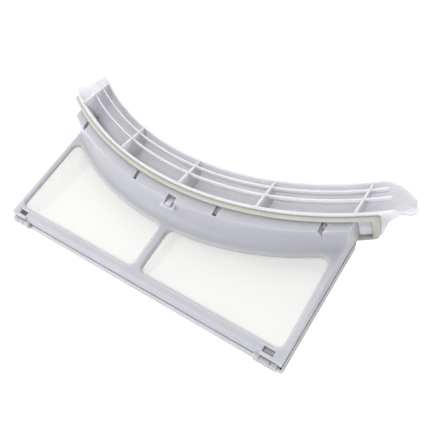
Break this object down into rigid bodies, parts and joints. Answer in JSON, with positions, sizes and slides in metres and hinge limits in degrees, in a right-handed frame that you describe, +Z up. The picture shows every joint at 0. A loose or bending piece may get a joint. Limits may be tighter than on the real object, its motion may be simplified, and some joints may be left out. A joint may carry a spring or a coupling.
{
  "type": "tumble dryer lint filter",
  "caption": "Fold-open lint filter: two hinged mesh frames under an arched air grille with a rim seal; it slides into a tumble dryer's door opening and catches lint.",
  "frame": {"origin": "on the table the filter lies on, under the middle of its overall box", "axes": "+X along the width, +Y from the hinge edge to the grille, +Z up, out of the front mesh face"},
  "size_m": [0.3, 0.1456, 0.0554],
  "materials": {
    "frame_plastic": "satin moulded plastic, white with a cool grey cast",
    "hood_plastic": "satin moulded plastic, white with a cool grey cast",
    "seal": "soft cream sealing strip",
    "mesh": "fine woven white screen, light shows through"
  },
  "bodies": {
    "rear_half": {"rear_frame": "frame_plastic", "rear_mesh_left": "mesh", "rear_mesh_right": "mesh"},
    "front_half": {"front_frame": "frame_plastic", "grille_hood": "hood_plastic", "rim_seal": "seal", "front_mesh_left": "mesh", "front_mesh_right": "mesh"}
  },
  "joints": [
    {"name": "pocket_hinge", "type": "hinge", "parent": "rear_half", "child": "front_half", "pos_m": [0, -0.06986, 0.0119], "axis": [1, 0, 0], "range_deg": [0, 120]}
  ]
}
